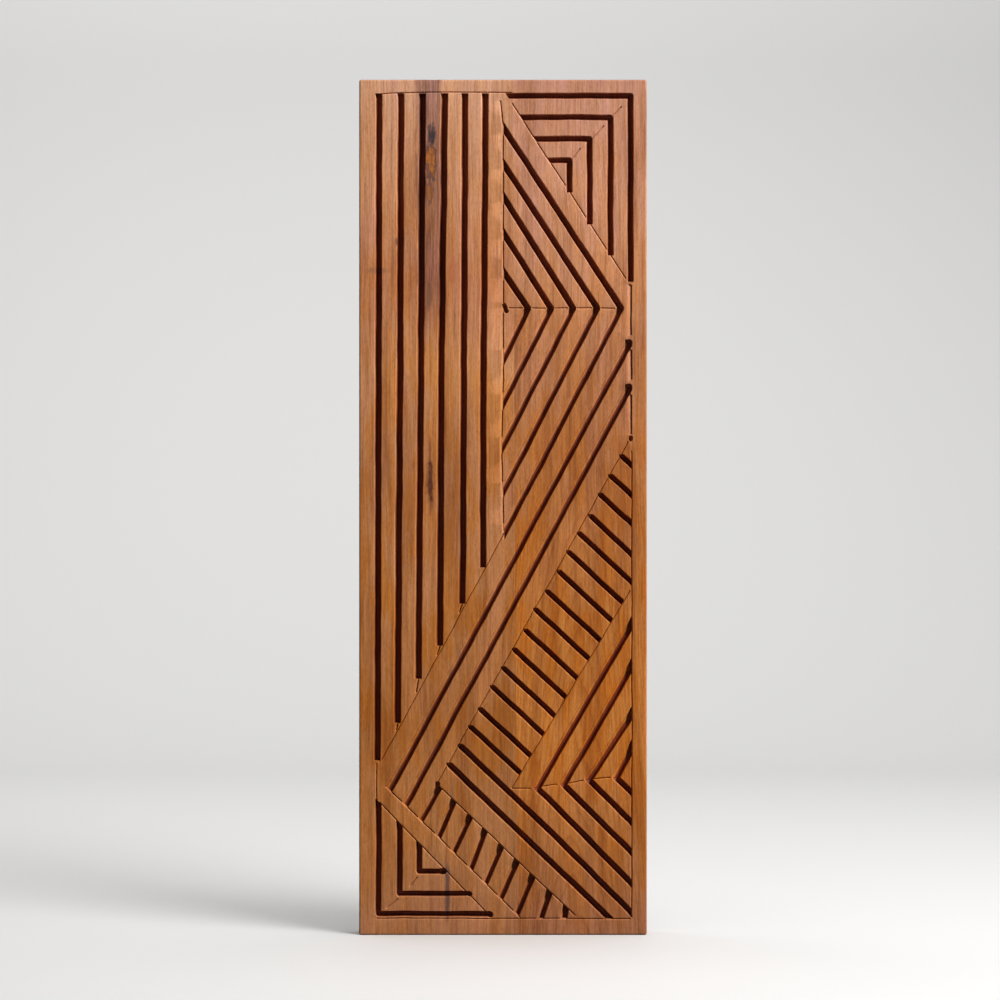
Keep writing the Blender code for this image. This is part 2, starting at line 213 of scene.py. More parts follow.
def scribed_lines():
    """Fine lines that part the regions and mitre the corners."""
    edges = [[(1.0, 419.0), (-127.0, 182.5)],
             [(9.0, 867.5), (128.0, 684.0)],
             [(130.7, 515.0), (-68.5, 159.0)],
             [(132.5, 359.5), (8.5, 152.5)],
             [(-68.0, 156.5), (75.2, 20.0)],
             [(-122.3, 155.5), (18.2, 18.0)],
             [(-129.0, 138.5), (-14.8, 20.5)]]
    top_mitres = [[(113.2, 853.5), (124.0, 864.5)], [(92.4, 829.8), (105.2, 844.3)],
                  [(70.2, 807.0), (81.0, 820.5)]]
    foot_mitres = [[(-121.2, 27.6), (-108.8, 38.4)], [(-97.5, 50.3), (-89.0, 60.5)]]
    middle_mitres = [[(5.5, 653.8), (21.0, 653.8)], [(29.5, 653.8), (45.0, 653.7)],
                     [(53.5, 653.7), (68.0, 653.8)], [(76.5, 653.7), (93.0, 653.7)],
                     [(101.5, 653.5), (117.0, 653.2)]]
    low_mitres = [[(9.6, 152.7), (29.0, 153.0)], [(39.5, 155.0), (56.6, 157.0)],
                  [(68.0, 157.8), (84.0, 161.2)], [(94.0, 162.5), (112.0, 164.5)]]
    return edges + top_mitres + foot_mitres + middle_mitres + low_mitres


def border_lines():
    """The knife line round the carved field, where no channel follows it."""
    return [[(-131.0, 876.4), (-118.0, 877.6), (-90.0, 878.5), (-50.0, 878.6), (9.5, 878.3)],
            [(-132.0, 17.3), (133.5, 17.0)],
            [(134.2, 17.5), (134.1, 505.0)],
            [(-131.8, 179.0), (-131.8, 134.5)]]


def sloped_lines():
    """Upright lines cut steep on the right and sloped on the left; they run upward."""
    middle = [[(1.0, 419.0), (-1.0, 505.5), (0.6, 605.0), (0.6, 843.5), (-2.3, 870.5)]]
    border = [[(134.1, 522.0), (134.1, 564.0)], [(134.1, 579.0), (134.0, 611.0)],
              [(134.0, 625.5), (134.0, 678.0)]]
    return middle, border


def pits():
    """Places where the gouge was turned or stopped: two ends and a width for each."""
    return [([(132.9, 516.6), (133.3, 518.6)], 4.6), ([(1.2, 656.6), (3.4, 650.6)], 5.0),
            ([(131.0, 227.6), (131.9, 229.6)], 5.2), ([(-68.4, 157.4), (-68.9, 152.0)], 5.6),
            ([(-64.6, 66.0), (-62.6, 66.4)], 7.4), ([(-15.6, 21.8), (-13.6, 21.4)], 6.6),
            ([(-37.2, 43.0), (-35.2, 42.6)], 6.0),
            ([(128.4, 436.9), (133.0, 432.9)], 3.0), ([(-68.0, 152.5), (-72.5, 143.5)], 4.4)]


def knife_tails():
    """Where the knife ran on past the foot of a flute."""
    return [[(-110.0, 222.0), (-111.2, 213.0)], [(-88.3, 268.0), (-90.8, 252.5)],
            [(-65.9, 302.5), (-69.2, 291.0)], [(-42.4, 346.0), (-45.4, 335.0)]]


# ---- Cross sections: (distance from the centre line as a share of the half width, share of the depth) ----
def round_channel_section(half_width, depth, arris=0.36):
    """A U-shaped channel whose sides steepen to a small rounded arris: distances and depths."""
    distances = [0.0, 0.30, 0.56, 0.76, 0.89, 0.96]
    depths = [1.0, 0.965, 0.87, 0.70, 0.49, 0.28]
    distances = [share * half_width for share in distances]
    depths = [share * depth for share in depths]
    for angle in (68, 48, 28, 0):
        turn = radians(angle)
        distances.append(half_width + arris * (1 - sin(turn)))
        depths.append(arris * (1 - cos(turn)))
    distances.append(half_width + arris + 0.45)
    depths.append(0.0)
    return np.array(distances), np.array(depths)


def knife_section(half_width, depth):
    """A V cut with softened lips."""
    return (np.array([0.0, 0.5, 0.85, 1.15, 1.55]) * half_width,
            np.array([1.0, 0.52, 0.16, 0.03, 0.0]) * depth)


def chip_section(half_width, depth):
    """A flat-walled V, for a line that is steep on one side and sloped on the other."""
    return np.array([0.0, 0.35, 0.7, 1.0]) * half_width, np.array([1.0, 0.66, 0.31, 0.0]) * depth


EDGES = {
    "top": [(-140.0, 877.8), (140.0, 877.8)],
    "foot": [(-140.0, 17.2), (140.0, 17.2)],
    "border": [(134.0, 0.0), (134.0, 700.0)],
    "middle": [(0.7, 860.0), (0.7, 605.0), (-0.9, 505.5), (1.1, 419.0), (1.2, 405.0)],
    "slant": [(2.0, 878.3), (140.0, 665.5)],
    "ladder_foot": [(136.0, 365.3), (8.5, 152.5)],
    "slots_top": [(-74.0, 162.2), (80.0, 15.4)],
    "slots_foot": [(-130.0, 163.0), (22.0, 14.3)],
    "corner": [(-134.0, 143.7), (-10.0, 15.5)],
}


def carving():
    """Every cut: its centre line, section distances and depths, slope, and the stops that end it."""
    families = [(FLUTE, flutes(), ("top",), ("square",)),
                (CORNER, corner_channels(), ("slant",), ("square",)),
                (BAND, right_chevrons(), ("middle",), ("middle",)),
                (BAND, band_channels(), (), ("slots_foot",)),
                (SLOT, ladder_slots(), (), ("ladder_foot", "border")),
                (BAND, left_chevrons(), ("border",), ("border",)),
                (BAND, falling_channels(), (), ("border", "foot")),
                (SHORT_SLOT, short_slots(), ("slots_top",), ("slots_foot", "foot")),
                (CORNER, foot_corners(), ("corner",), ())]
    cuts = []
    for width, lines, starts, ends in families:
        distances, depths = round_channel_section(width / 2, CHANNEL_DEPTH)
        for line in lines:
            route = [Vector(point) for point in line]
            route, last = end_at(route, ends, width / 2)
            route, first = end_at(route[::-1], starts, width / 2)
            cuts.append((route[::-1], distances, depths, GOUGE_SLOPE, first + last))
    for line, width in pits():
        distances, depths = round_channel_section(width / 2, min(CHANNEL_DEPTH, width * 0.85))
        cuts.append(([Vector(point) for point in line], distances, depths, EVEN, []))
    middle, border = sloped_lines()
    for section, width, depth, slope, lines in (
            (knife_section, SCRIBE, SCRIBE_DEPTH, EVEN, scribed_lines()),
            (knife_section, SCRIBE, SCRIBE_DEPTH, EVEN, border_lines()),
            (chip_section, MIDDLE_LINE, MIDDLE_LINE_DEPTH, MIDDLE_SLOPE, middle),
            (chip_section, BORDER_LINE, BORDER_LINE_DEPTH, BORDER_SLOPE, border),
            (knife_section, TAIL, TAIL_DEPTH, EVEN, knife_tails())):
        distances, depths = section(width / 2, depth)
        cuts += [(inset_tips(line, width / 2), distances, depths, slope, []) for line in lines]
    return cuts


# ---- The carved surface ----
def inset_tips(line, radius):
    """The line with its two ends drawn in by radius, so that the round tips end at its points."""
    route = [Vector(point) for point in line]
    route[0] = route[0] + (route[1] - route[0]).normalized() * radius
    route[-1] = route[-1] + (route[-2] - route[-1]).normalized() * radius
    return route


def end_at(route, names, half_width):
    """The line run on to the nearest named edge and past it, with the stop that cuts it off there.
    Where no edge is near, the tip is drawn in so that its round end stays at the line's own end."""
    before, end = route[-2], route[-1]
    along = (end - before).normalized()
    reach = half_width + 1.2
    if names == ("square",):
        return route[:-1] + [end + along * 0.6], [(end, -along, Vector((-along.y, along.x)), reach + 0.8)]
    nearest = None
    for name in names:
        for a, b in zip(EDGES[name], EDGES[name][1:]):
            start, edge = Vector(a), Vector(b) - Vector(a)
            crossing = along.cross(edge)
            if abs(crossing) < 1e-6:
                continue
            run = (start - end).cross(edge) / crossing
            share = (start - end).cross(along) / crossing
            if 0 <= share <= 1 and abs(run) < STOP_REACH and (nearest is None or abs(run) < abs(nearest[0])):
                nearest = (run, edge.normalized())
    if nearest is None:
        return route[:-1] + [end - along * half_width], []
    run, edge = nearest
    meet = end + along * run
    sine, cosine = abs(along.cross(edge)), abs(along.dot(edge))
    inward = Vector((-edge.y, edge.x))
    if inward.dot(before - meet) < 0:
        inward = -inward
    reach *= 1 + GOUGE_SLOPE[2]
    past = meet + along * (reach * cosine / sine + 0.6)
    return route[:-1] + [past], [(meet, inward, edge, reach / sine + 0.8)]


def resample(points, step, closed):
    """Points no more than step apart along a polyline."""
    ends = list(zip(points, points[1:] + points[:1])) if closed else list(zip(points, points[1:]))
    fine = []
    for here, there in ends:
        pieces = max(1, ceil((there - here).length / step))
        fine += [here.lerp(there, piece / pieces) for piece in range(pieces)]
    return fine if closed else fine + [points[-1]]


def widening(x, z, slope):
    """How many times wider than its plan a cut is towards the direction (x, z)."""
    facing_x, facing_z, amount = slope
    share = np.clip((x * facing_x + z * facing_z - SLOPE_FROM) / (1 - SLOPE_FROM), 0.0, 1.0)
    return 1 + amount * share * share * (3 - 2 * share)


def offset_loop(route, distance, slope):
    """Closed outline at a distance round a polyline, round at its tips and outer corners."""
    there_and_back = route + route[-2:0:-1]
    outline = []
    for index, here in enumerate(there_and_back):
        into = (here - there_and_back[index - 1]).normalized()
        out = (there_and_back[(index + 1) % len(there_and_back)] - here).normalized()
        side_in = Vector((into.y, -into.x))
        side_out = Vector((out.y, -out.x))
        turn = atan2(into.cross(out), into.dot(out))
        if into.dot(out) < -0.999:
            turn = pi
        if turn < radians(3):
            reach_in = distance * float(widening(side_in.x, side_in.y, slope))
            reach_out = distance * float(widening(side_out.x, side_out.y, slope))
            spread = side_in.cross(side_out)
            if abs(spread) < 0.05:
                between = side_in * reach_in + side_out * reach_out
                outline.append(here + between / (1 + side_in.dot(side_out)))
            else:
                outline.append(here + Vector((reach_in * side_out.y - reach_out * side_in.y,
                                              reach_out * side_in.x - reach_in * side_out.x)) / spread)
            continue
        count = max(1, ceil(ARC_STEPS * turn / pi))
        start = atan2(side_in.y, side_in.x)
        for step in range(count + 1):
            angle = start + turn * step / count
            out_x, out_z = cos(angle), sin(angle)
            outline.append(here + Vector((out_x, out_z)) * distance * float(widening(out_x, out_z, slope)))
    return outline


def panel_outline(inset):
    """The panel's outline, drawn in by inset, with rounded corners."""
    radius = max(CORNER_ROUND - inset, 0.15)
    left, right = PANEL_LEFT + inset, PANEL_RIGHT - inset
    foot, top = inset, PANEL_TOP - inset
    centres = ((right - radius, foot + radius, -90), (right - radius, top - radius, 0),
               (left + radius, top - radius, 90), (left + radius, foot + radius, 180))
    outline = []
    for x, z, first in centres:
        for step in range(5):
            angle = radians(first + 90 * step / 4)
            outline.append(Vector((x + radius * cos(angle), z + radius * sin(angle))))
    return outline


def edge_distance(x, z):
    """Distance inward from the panel's rounded outline."""
    half_width = (PANEL_RIGHT - PANEL_LEFT) / 2
    half_height = PANEL_TOP / 2
    across = np.abs(x - (PANEL_RIGHT + PANEL_LEFT) / 2) - (half_width - CORNER_ROUND)
    up = np.abs(z - half_height) - (half_height - CORNER_ROUND)
    outside = np.hypot(np.maximum(across, 0), np.maximum(up, 0))
    inside = np.minimum(np.maximum(across, up), 0)
    return CORNER_ROUND - outside - inside


def edge_drop(distance):
    """How far the surface lies below its flat face near a rounded outer edge."""
    share = np.clip(distance, 0.0, EDGE_ROUND)
    return EDGE_ROUND - np.sqrt(np.maximum(EDGE_ROUND ** 2 - (EDGE_ROUND - share) ** 2, 0.0))


def line_distance(x, z, route, slope):
    """Distance from each point to a polyline, shrunk on the side where the cut is wider."""
    nearest = np.full(x.shape, 1e9)
    for start, end in zip(route, route[1:]):
        along = end - start
        length = along.length
        unit = along / length
        reach = np.clip((x - start.x) * unit.x + (z - start.y) * unit.y, 0.0, length)
        off_x = x - start.x - reach * unit.x
        off_z = z - start.y - reach * unit.y
        gap = np.hypot(off_x, off_z)
        wider = widening(off_x / (gap + 1e-9), off_z / (gap + 1e-9), slope)
        nearest = np.minimum(nearest, gap / wider)
    return nearest


def ripple(x, z, seed, shortest, longest, waves=9):
    """Smooth, repeatable unevenness of about unit size."""
    draw = np.random.default_rng(seed)
    total = np.zeros_like(x)
    for _ in range(waves):
        length = draw.uniform(shortest, longest)
        heading = draw.uniform(0, 2 * pi)
        phase = draw.uniform(0, 2 * pi)
        total += np.sin(2 * pi * (x * cos(heading) + z * sin(heading)) / length + phase)
    return total / sqrt(waves)


def carve_depth(x, z, cuts):
    """Depth of the carving at each point, and how near each point is to a cut's lip, which is lightened by
    wear and a painted highlight.
    """
    depth = np.zeros_like(x)
    lip = np.zeros_like(x)
    uneven = 1 + 0.05 * ripple(x, z, 5, 12, 60)
    for route, distances, depths, slope, stops in cuts:
        margin = distances[-1] * (1 + slope[2]) + 1
        near = ((x > min(p.x for p in route) - margin) & (x < max(p.x for p in route) + margin)
                & (z > min(p.y for p in route) - margin) & (z < max(p.y for p in route) + margin))
        if not near.any():
            continue
        gap = line_distance(x[near], z[near], route, slope)
        here = np.interp(gap, distances, depths, right=0.0) * uneven[near]
        lip_wear_and_highlight = np.clip(1 - np.abs(gap - distances[-2] + 0.3) / LIP_WIDTH, 0, 1)
        for meet, inward, edge, half_length in stops:
            inside = (x[near] - meet.x) * inward.x + (z[near] - meet.y) * inward.y
            beside = np.abs((x[near] - meet.x) * edge.x + (z[near] - meet.y) * edge.y) < half_length + 0.5
            kept = np.where(beside, np.clip((inside - 0.05) / STOP_WALL, 0, 1), 1.0)
            here *= kept
            lip_wear_and_highlight *= kept
        depth[near] = np.maximum(depth[near], here)
        lip[near] = np.maximum(lip[near], lip_wear_and_highlight)
    return depth, lip


def triangulate(loops, lines):
    """Plane triangles over closed loops and open lines; returns points and corner numbers."""
    points, edges = [], []
    for loop, closed in [(loop, True) for loop in loops] + [(line, False) for line in lines]:
        first = len(points)
        points += loop
        edges += [(first + i, first + i + 1) for i in range(len(loop) - 1)]
        if closed:
            edges.append((first + len(loop) - 1, first))
    out = delaunay_2d_cdt(points, edges, [], 0, WELD)
    plane = np.array([(point.x, point.y) for point in out[0]])
    triangles = np.array([tuple(face) for face in out[2]])
    return plane, triangles


def glue_x(z):
    return GLUE_X_FOOT + (GLUE_X_TOP - GLUE_X_FOOT) * z / PANEL_TOP


def edge_levels():
    """Insets of the loops that shape the rounded outer edge."""
    rounded = [EDGE_ROUND * (1 - cos(radians(angle))) for angle in (0, 22, 45, 67, 90)]
    return rounded + [EDGE_ROUND + 0.7]


def rim(triangles):
    """The one closed loop of outer edges of a patch of triangles, in order."""
    directed = {}
    edges = set()
    for a, b, c in triangles:
        edges.update(((a, b), (b, c), (c, a)))
    for a, b in edges:
        if (b, a) not in edges:
            directed[a] = b
    start = next(iter(directed))
    loop = [start]
    while directed[loop[-1]] != start:
        loop.append(directed[loop[-1]])
    if len(loop) != len(directed):
        raise ValueError("the board's rim isn't one loop")
    return loop


def warp(plane):
    """Slight hand wobble of the carving; it fades out at the panel's own edges."""
    x, z = plane[:, 0], plane[:, 1]
    fade = np.clip((edge_distance(x, z) - 6) / 10, 0, 1)
    wobble_x, wobble_z = (SWAY * ripple(x, z, seed, 24, 130) + SHAKE * ripple(x, z, seed + 2, 8, 20)
                          for seed in (11, 12))
    return np.column_stack((x + fade * wobble_x, z + fade * wobble_z))


def panel_surfaces():
    """Front and back of the whole panel: plane points, triangles, depth below each flat face, lips."""
    cuts = carving()
    levels = [resample(panel_outline(inset), 2 * SAMPLE_STEP, True) for inset in edge_levels()]
    loops = list(levels)
    lines = []
    for route, distances, _, slope, stops in cuts:
        lines.append(resample(route, SAMPLE_STEP, False))
        loops += [resample(offset_loop(route, distance, slope), SAMPLE_STEP, True)
                  for distance in distances[1:]]
        for meet, inward, edge, half_length in stops:
            for inset in (0.05, 0.05 + STOP_WALL):
                centre = meet + inward * inset
                lines.append([centre - edge * half_length, centre + edge * half_length])
    glue = resample([Vector((GLUE_X_FOOT, 0.0)), Vector((GLUE_X_TOP, PANEL_TOP))], 2 * SAMPLE_STEP, False)
    plane, triangles = triangulate(loops, lines + [glue])
    depth, lip = carve_depth(plane[:, 0], plane[:, 1], cuts)
    inward = edge_distance(plane[:, 0], plane[:, 1])
    depth = np.maximum(depth, edge_drop(inward))
    seam = np.abs(plane[:, 0] - glue_x(plane[:, 1])) < 2 * WELD
    seam_points = sorted(plane[seam].tolist(), key=lambda point: point[1])
    back_plane, back_triangles = triangulate(levels, [[Vector(point) for point in seam_points]])
    back_depth = edge_drop(edge_distance(back_plane[:, 0], back_plane[:, 1]))
    return (plane, triangles, depth, lip), (back_plane, back_triangles, back_depth)


def side_mask(plane, triangles, side):
    """Triangles on one side of the glue line: -1 is the left board, 1 the right board."""
    middle = plane[triangles].mean(axis=1)
    across = middle[:, 0] - glue_x(middle[:, 1])
    inside = edge_distance(middle[:, 0], middle[:, 1]) > 0
    return triangles[(across * side > 0) & inside]


def board_mesh(name, side, front, back):
    """One board as a closed mesh: carved front, flat back and straight sides."""
    plane, triangles, depth, lip = front
    back_plane, back_triangles, back_depth = back
    front_part = side_mask(plane, triangles, side)
    back_part = side_mask(back_plane, back_triangles, side)
    front_rim = rim(front_part)
    used_front = np.unique(front_part)
    used_back = np.unique(back_part)
    front_number = {old: new for new, old in enumerate(used_front)}
    back_number = {old: new + len(used_front) for new, old in enumerate(used_back)}
    back_rim = np.array(rim(back_part))
    flat = np.vstack((warp(plane[used_front]), warp(back_plane[used_back])))
    height = np.concatenate((FRONT_Y + depth[used_front], BACK_Y - back_depth[used_back]))
    shift = np.zeros(len(flat))
    original = np.vstack((plane[used_front], back_plane[used_back]))
    shift[np.abs(original[:, 0] - glue_x(original[:, 1])) < 2 * WELD] = side * HAIRLINE
    vertices = np.column_stack((flat[:, 0] + shift, height, flat[:, 1])) * MM
    faces = [(front_number[a], front_number[b], front_number[c]) for a, b, c in front_part]
    faces += [(back_number[a], back_number[c], back_number[b]) for a, b, c in back_part]
    behind = [back_number[back_rim[np.hypot(*(back_plane[back_rim] - plane[a]).T).argmin()]]
              for a in front_rim]
    sides = zip(front_rim, front_rim[1:] + front_rim[:1], behind, behind[1:] + behind[:1])
    faces += [(front_number[b], front_number[a], behind_a, behind_b) if behind_a != behind_b
              else (front_number[b], front_number[a], behind_a) for a, b, behind_a, behind_b in sides]
    mesh = mesh_of(name, vertices.tolist(), faces)
    mesh.update()
    lip_wear_and_highlight = mesh.attributes.new("lip", "FLOAT", "POINT")
    lip_wear_and_highlight.data.foreach_set("value", np.concatenate((lip[used_front], np.zeros(len(used_back)))))
    mesh.shade_smooth()
    mesh.set_sharp_from_angle(angle=radians(BOARD_CREASE))
    return mesh


# ---- Materials ----
class Look:
    """Builds one procedural material; positions are in millimetres in the row frame."""

    def __init__(self, name):
        self.material = bpy.data.materials.new(name)
        self.material.use_nodes = True
        self.tree = self.material.node_tree
        self.shader = self.tree.nodes["Principled BSDF"]
        place = self.tree.nodes.new("ShaderNodeTexCoord").outputs["Object"]
        scaled = self.make("ShaderNodeVectorMath", {0: place, "Scale": 1 / MM}, operation="SCALE").outputs[0]
        self.x, self.y, self.z = self.make("ShaderNodeSeparateXYZ", {"Vector": scaled}).outputs

    def make(self, kind, inputs, **settings):
        node = self.tree.nodes.new(kind)
        for key, value in settings.items():
            setattr(node, key, value)
        for key, value in inputs.items():
            self.feed(node.inputs[key], value)
        return node

    def feed(self, socket, value):
        if isinstance(value, bpy.types.NodeSocket):
            self.tree.links.new(value, socket)
        elif isinstance(value, tuple) and socket.type == "RGBA":
            socket.default_value = (*value, 1.0)[:4]
        else:
            socket.default_value = value

    def finish(self, **values):
        """Feeds the shader's sockets, named with underscores, and returns the material."""
        for key, value in values.items():
            self.feed(self.shader.inputs[key.replace("_", " ")], value)
        return self.material

    def math(self, operation, first, second=0.0):
        return self.make("ShaderNodeMath", {0: first, 1: second}, operation=operation).outputs[0]

    def times(self, first, second):
        return self.math("MULTIPLY", first, second)

    def plus(self, first, second):
        return self.math("ADD", first, second)

    def minus(self, first, second):
        return self.math("SUBTRACT", first, second)

    def absolute(self, value):
        return self.math("ABSOLUTE", value)

    def smooth(self, value, low, high, to_low=0.0, to_high=1.0):
        """Smooth step from low to high."""
        inputs = {"Value": value, "From Min": low, "From Max": high, "To Min": to_low, "To Max": to_high}
        return self.make("ShaderNodeMapRange", inputs, interpolation_type="SMOOTHSTEP").outputs[0]

    def noise(self, size_x, size_z, detail=2.0, roughness=0.5, shift=0.0, x=None, distortion=0.0):
        """Noise whose patches are about size_x wide and size_z tall, in millimetres."""
        place = {"X": self.times(self.x if x is None else x, 1 / size_x),
                 "Y": self.times(self.y, 0.35 / size_x),
                 "Z": self.plus(self.times(self.z, 1 / size_z), shift)}
        node = self.make("ShaderNodeTexNoise", {
            "Vector": self.make("ShaderNodeCombineXYZ", place).outputs[0], "Scale": 1.0,
            "Detail": detail, "Roughness": roughness, "Distortion": distortion})
        return node.outputs["Fac"]

    def ramp(self, value, stops):
        node = self.make("ShaderNodeValToRGB", {"Fac": value})
        steps = node.color_ramp.elements
        while len(steps) < len(stops):
            steps.new(0.5)
        for step, (position, color) in zip(steps, stops):
            step.position = position
            step.color = (*color, 1.0)
        return node.outputs["Color"]

    def math_ramp(self, value, stops):
        """A plain number that changes evenly with value, from (position, number) stops."""
        return self.ramp(value, [(position, (number,) * 3) for position, number in stops])

    def mix(self, share, first, second, blend="MIX"):
        inputs = {0: share, 6: first, 7: second}
        return self.make("ShaderNodeMix", inputs, data_type="RGBA", blend_type=blend).outputs[2]

    def stain(self, share, color, tint):
        """The colour multiplied by the tint, by a share."""
        return self.mix(share, color, tint, "MULTIPLY")

    def stains(self, color, rows):
        """Several stains, each where a value passes from low to high."""
        for value, low, high, tint in rows:
            color = self.stain(self.smooth(value, low, high), color, tint)
        return color

    def reach(self, x, z, radius_x, radius_z, ragged, raggedness=0.9):
        """Distance from an ellipse's centre as a share of its size, with a ragged outline."""
        across = self.times(self.minus(self.x, x), 1 / radius_x)
        up = self.times(self.minus(self.z, z), 1 / radius_z)
        squares = self.plus(self.times(across, across), self.times(up, up))
        return self.plus(self.math("SQRT", squares), self.times(self.minus(ragged, 0.5), raggedness))

    def bump(self, height, strength, distance, under=None):
        inputs = {"Height": height, "Strength": strength, "Distance": distance}
        if under is not None:
            inputs["Normal"] = under
        return self.make("ShaderNodeBump", inputs).outputs["Normal"]


def srgb(red, green, blue):
    """Linear colour from the usual 0 to 255 values."""
    shares = [value / 255 for value in (red, green, blue)]
    return tuple(share / 12.92 if share <= 0.04045 else ((share + 0.055) / 1.055) ** 2.4
                 for share in shares)


def wood_grain(look, height_colors, figure, golden):
    """Shared body of both boards' wood: colour by height, lighter towards the top partly as painted light,
    streaks, golden patches, fibres and pores.
    Returns the colour, the wandering cross position, and the fibre and pore values."""
    wander = look.noise(60, 260, detail=1.5, shift=figure)
    across = look.plus(look.times(wander, WANDER), look.x)
    broad = look.noise(11, 190, x=across, shift=figure + 3)
    medium = look.noise(2.7, 75, detail=4, roughness=0.65, x=across, shift=figure + 7)
    fibre = look.noise(0.72, 24, detail=3, roughness=0.7, x=across, shift=figure + 11)
    speck = look.noise(0.5, 4.5, x=across, shift=figure + 17)
    patch = look.noise(17, 75, detail=4, roughness=0.6, x=across, shift=figure + 29)
    mottle = look.noise(1.4, 4.5, detail=3, roughness=0.7, x=across, shift=figure + 37)
    up = look.math("DIVIDE", look.z, PANEL_TOP)
    # The height ramp is partly painted light: lighter towards the top, as if lit from above.
    color = look.stains(look.ramp(up, height_colors), (
        (broad, 0.40, 0.66, (1.10, 1.10, 1.10)), (broad, 0.50, 0.32, (0.84, 0.78, 0.74)),
        (medium, 0.52, 0.30, (0.76, 0.68, 0.60)), (medium, 0.52, 0.72, (1.16, 1.15, 1.14)),
        (fibre, 0.54, 0.28, (0.80, 0.73, 0.66)), (fibre, 0.52, 0.76, (1.15, 1.14, 1.13)),
        (patch, 0.45, 0.30, (1.03, 1.01, 1.16)),
        (mottle, 0.50, 0.30, (0.84, 0.79, 0.74)), (mottle, 0.52, 0.72, (1.13, 1.12, 1.10))))
    gold = look.times(look.smooth(patch, 0.45, 0.58), look.math_ramp(up, golden))
    color = look.stain(gold, color, GOLD_TINT)
    pores = look.smooth(speck, 0.60, 0.72)
    return look.stain(look.times(pores, 0.6), color, PORE_TINT), across, fibre, pores


def painted_cut_shade(look, facing_x, facing_z, from_middle):
    """Painted shade inside the cuts, by depth; none on the outer edges, and none on slopes that face right
    and down, where the key light falls.
    """
    below = look.minus(look.y, FRONT_Y)
    shade = look.smooth(below, 0.22 * CHANNEL_DEPTH, 0.80 * CHANNEL_DEPTH)
    for limit in (look.smooth(below, CHANNEL_DEPTH + 2.5, CHANNEL_DEPTH + 1.5),
                  look.smooth(look.absolute(look.x), 142.0, 139.0),
                  look.smooth(from_middle, PANEL_TOP / 2 - 8.0, PANEL_TOP / 2 - 11.0)):
        shade = look.times(shade, limit)
    # Slopes facing right and down stand in the key light, so the painted shade is lifted there.
    slanting = look.smooth(look.times(facing_x, facing_z), -0.02, -0.09)
    key_lit_slope = look.times(slanting, look.smooth(facing_x, 0.0, 0.06))
    return look.times(shade, look.minus(1.0, key_lit_slope))


def finish_wood(look, color, fibre, pores):
    """Paints shade into the cuts, darkens the end grain, lightens the lips with wear and a painted highlight,
    and sets sheen, roughness and bump.
    """
    normal = look.tree.nodes.new("ShaderNodeNewGeometry").outputs["Normal"]
    facing_x, _, facing_z = look.make("ShaderNodeSeparateXYZ", {"Vector": normal}).outputs
    from_middle = look.absolute(look.minus(look.z, PANEL_TOP / 2))
    # Painted shade in the cuts.
    color = look.stain(painted_cut_shade(look, facing_x, facing_z, from_middle), color, CUT_PAINTED_SHADE_TINT)
    end_grain = look.times(look.smooth(look.absolute(facing_z), 0.6, 0.95),
                              look.smooth(from_middle, PANEL_TOP / 2 - 3.0, PANEL_TOP / 2 - 1.0))
    color = look.stain(end_grain, color, END_TINT)
    # The lips are lightened: partly wear, partly a painted highlight along the rounded arrises.
    lip = look.make("ShaderNodeAttribute", {}, attribute_name="lip").outputs["Fac"]
    lip_wear_and_highlight = look.times(lip, look.noise(5, 5, detail=3, shift=41))
    color = look.stain(look.times(lip_wear_and_highlight, 0.55), color, LIP_WEAR_AND_HIGHLIGHT_TINT)
    patches = look.noise(22, 40, detail=3, shift=5)
    rough = look.plus(look.smooth(patches, 0.3, 0.7, 0.50, 0.62), look.times(pores, 0.12))
    rough = look.plus(rough, look.times(end_grain, 0.3))
    lumps = look.bump(look.noise(7, 60, shift=31), 0.35, 0.0006)
    fibres = look.bump(fibre, 0.34, 0.00022, lumps)
    return look.finish(Base_Color=color, Roughness=rough, Specular_IOR_Level=0.26,
                       Normal=look.bump(pores, 0.35, -0.00018, fibres))


WANDER = 16.0
GOLD_TINT = (0.96, 0.80, 0.36)
PORE_TINT = (0.60, 0.48, 0.40)
# Colour of the painted shade in the cuts.
CUT_PAINTED_SHADE_TINT = (0.34, 0.15, 0.09)
END_TINT = (0.46, 0.37, 0.30)
# Lightening of the lips: partly wear, partly a painted highlight.
LIP_WEAR_AND_HIGHLIGHT_TINT = (1.28, 1.30, 1.38)
STREAK_X = -76.5
CROWN_X = 84.0

# Colour by height, from the foot (0) to the top (1), and how golden the patches are there. The colours grow
# lighter towards the top: partly the wood's own tone, partly painted light from above.
LEFT_HEIGHTS = ((0.0, srgb(165, 109, 71)), (0.12, srgb(169, 112, 66)), (0.24, srgb(162, 102, 50)),
                (0.40, srgb(176, 117, 70)), (0.55, srgb(172, 114, 72)), (0.66, srgb(188, 130, 86)),
                (0.76, srgb(180, 119, 81)), (0.88, srgb(194, 138, 101)), (1.0, srgb(203, 152, 121)))
LEFT_GOLDEN = ((0.0, 0.40), (0.15, 0.65), (0.28, 0.95), (0.42, 0.90), (0.6, 0.70), (0.8, 0.50),
               (1.0, 0.20))
RIGHT_HEIGHTS = ((0.0, srgb(158, 102, 68)), (0.10, srgb(169, 107, 56)), (0.22, srgb(187, 117, 50)),
                 (0.36, srgb(180, 112, 48)), (0.50, srgb(174, 110, 58)), (0.62, srgb(174, 114, 72)),
                 (0.76, srgb(189, 131, 95)), (0.88, srgb(191, 135, 104)), (1.0, srgb(186, 133, 110)))
RIGHT_GOLDEN = ((0.0, 0.40), (0.12, 0.85), (0.3, 1.0), (0.48, 0.90), (0.62, 0.62), (0.85, 0.35), (1.0, 0.20))


